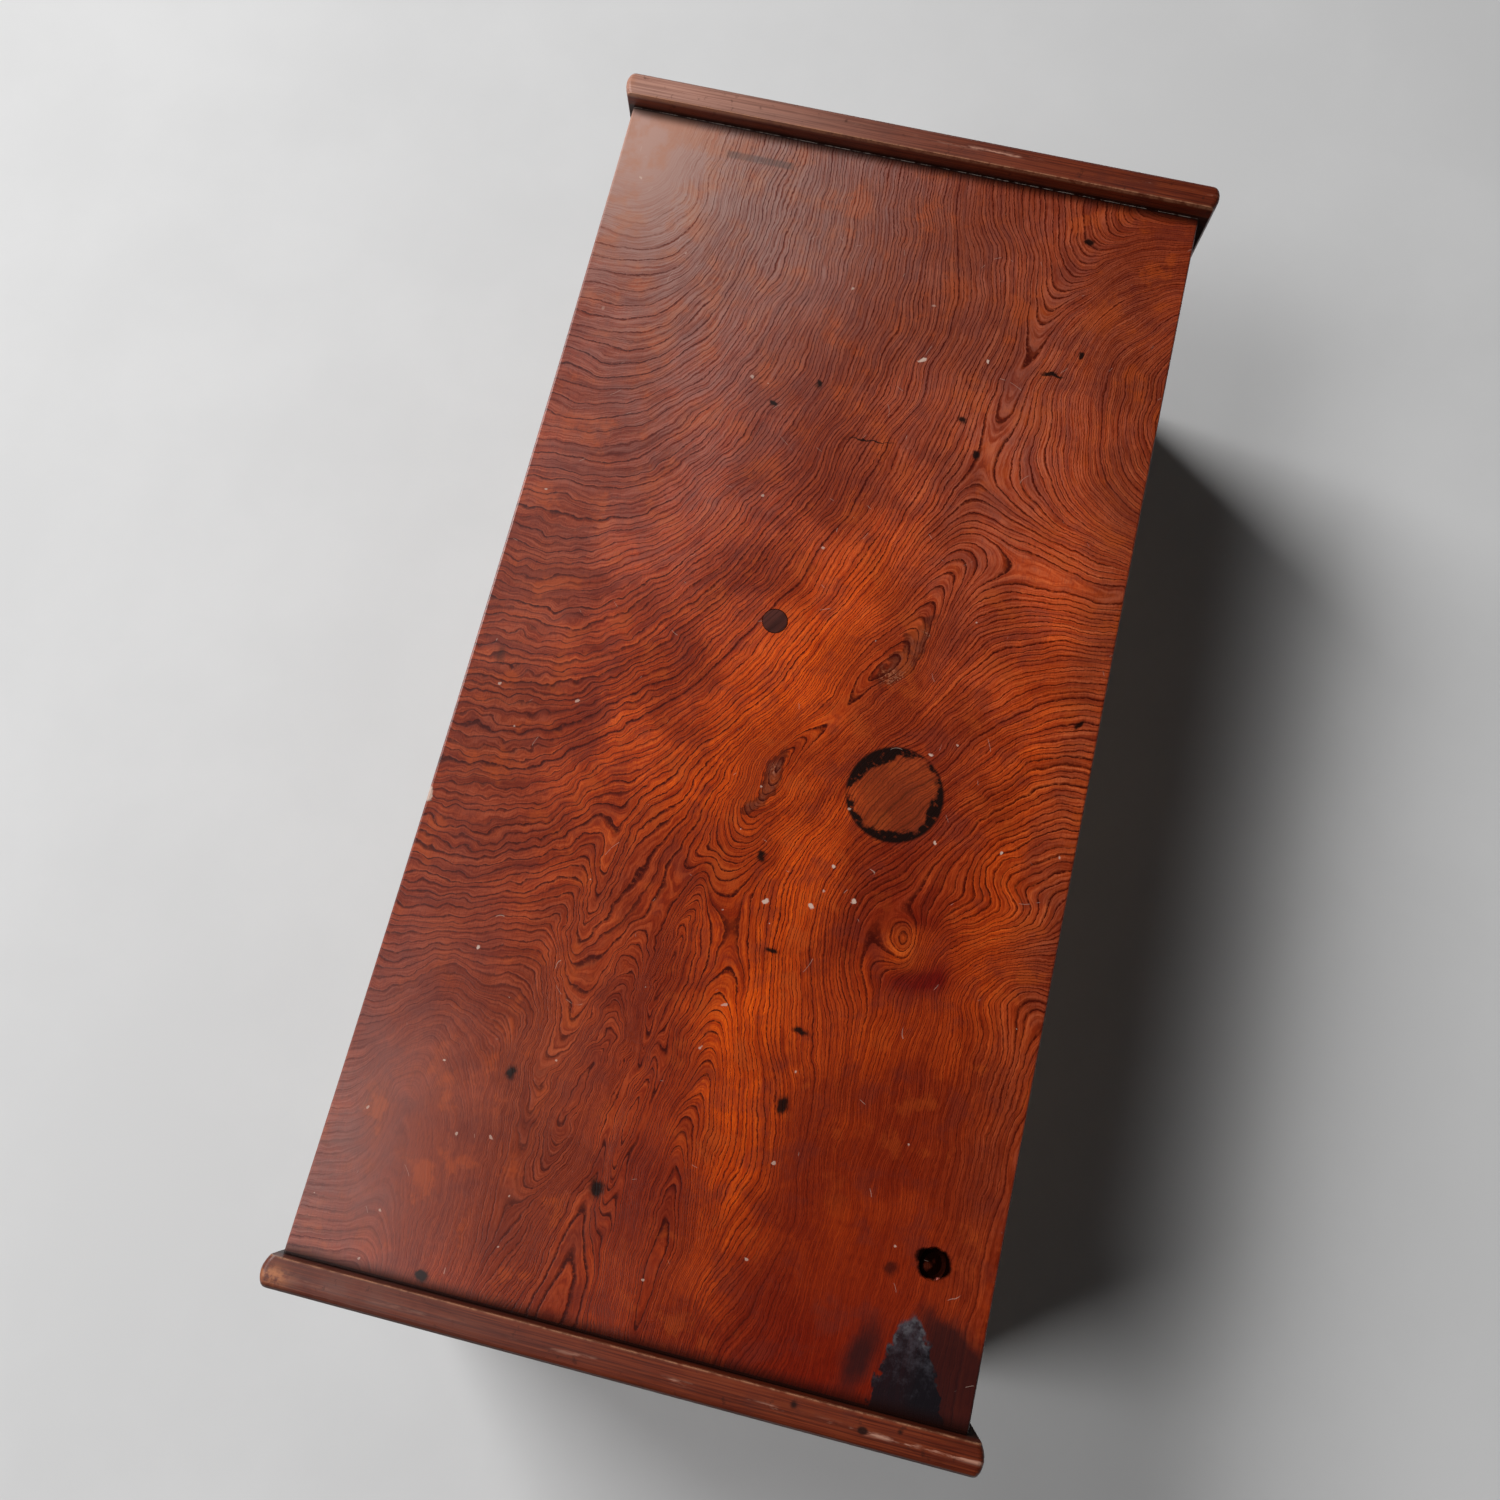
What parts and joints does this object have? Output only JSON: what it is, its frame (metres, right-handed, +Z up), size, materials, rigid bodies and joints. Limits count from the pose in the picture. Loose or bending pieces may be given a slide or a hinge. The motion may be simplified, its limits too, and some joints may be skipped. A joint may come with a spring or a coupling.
{
  "type": "japanese writing table",
  "caption": "Low writing table for sitting on the floor: a figured plank top between end panels that rise as brush stops, over sliding drawers with drop handles.",
  "frame": {"origin": "middle of the table's box, on the floor", "axes": "+X along the length, to the right of a person sitting at the table; -Y towards that person, the drawers' side; +Z up"},
  "size_m": [0.9, 0.4544, 0.3259],
  "materials": {
    "top_wood": "figured zelkova look under worn red-brown wiped lacquer",
    "panel_wood": "dark red-brown wiped lacquer, worn at the edges",
    "case_wood": "dark red-brown wiped lacquer",
    "drawer_wood": "bare planed softwood, aged",
    "plug_wood": "dark stained plug",
    "iron": "forged iron with a black lacquer bloom"
  },
  "bodies": {
    "table": {"top_board": "top_wood", "knot_plug": "plug_wood", "end_panel_left": "panel_wood", "end_panel_right": "panel_wood", "front_rail": "case_wood", "case_floor": "drawer_wood", "back_board": "case_wood", "centre_divider": "case_wood"},
    "drawer_left": {"drawer_left_front": "case_wood", "drawer_left_side_outer": "drawer_wood", "drawer_left_side_inner": "drawer_wood", "drawer_left_back": "drawer_wood", "drawer_left_bottom": "drawer_wood", "handle_left_post_outer": "iron", "handle_left_post_inner": "iron", "handle_left_rosette_outer": "iron", "handle_left_rosette_inner": "iron"},
    "bail_left": {"handle_left_bail": "iron"},
    "drawer_right": {"drawer_right_front": "case_wood", "drawer_right_side_outer": "drawer_wood", "drawer_right_side_inner": "drawer_wood", "drawer_right_back": "drawer_wood", "drawer_right_bottom": "drawer_wood", "handle_right_post_outer": "iron", "handle_right_post_inner": "iron", "handle_right_rosette_outer": "iron", "handle_right_rosette_inner": "iron"},
    "bail_right": {"handle_right_bail": "iron"}
  },
  "joints": [
    {"name": "drawer_left_slide", "type": "slide", "parent": "table", "child": "drawer_left", "axis": [0, -1, 0], "range_m": [0, 0.28]},
    {"name": "bail_left_swing", "type": "hinge", "parent": "drawer_left", "child": "bail_left", "pos_m": [-0.219, -0.21075, 0.25715], "axis": [-1, 0, 0], "range_deg": [0, 150]},
    {"name": "drawer_right_slide", "type": "slide", "parent": "table", "child": "drawer_right", "axis": [0, -1, 0], "range_m": [0, 0.28]},
    {"name": "bail_right_swing", "type": "hinge", "parent": "drawer_right", "child": "bail_right", "pos_m": [0.219, -0.21075, 0.25715], "axis": [-1, 0, 0], "range_deg": [0, 150]}
  ]
}
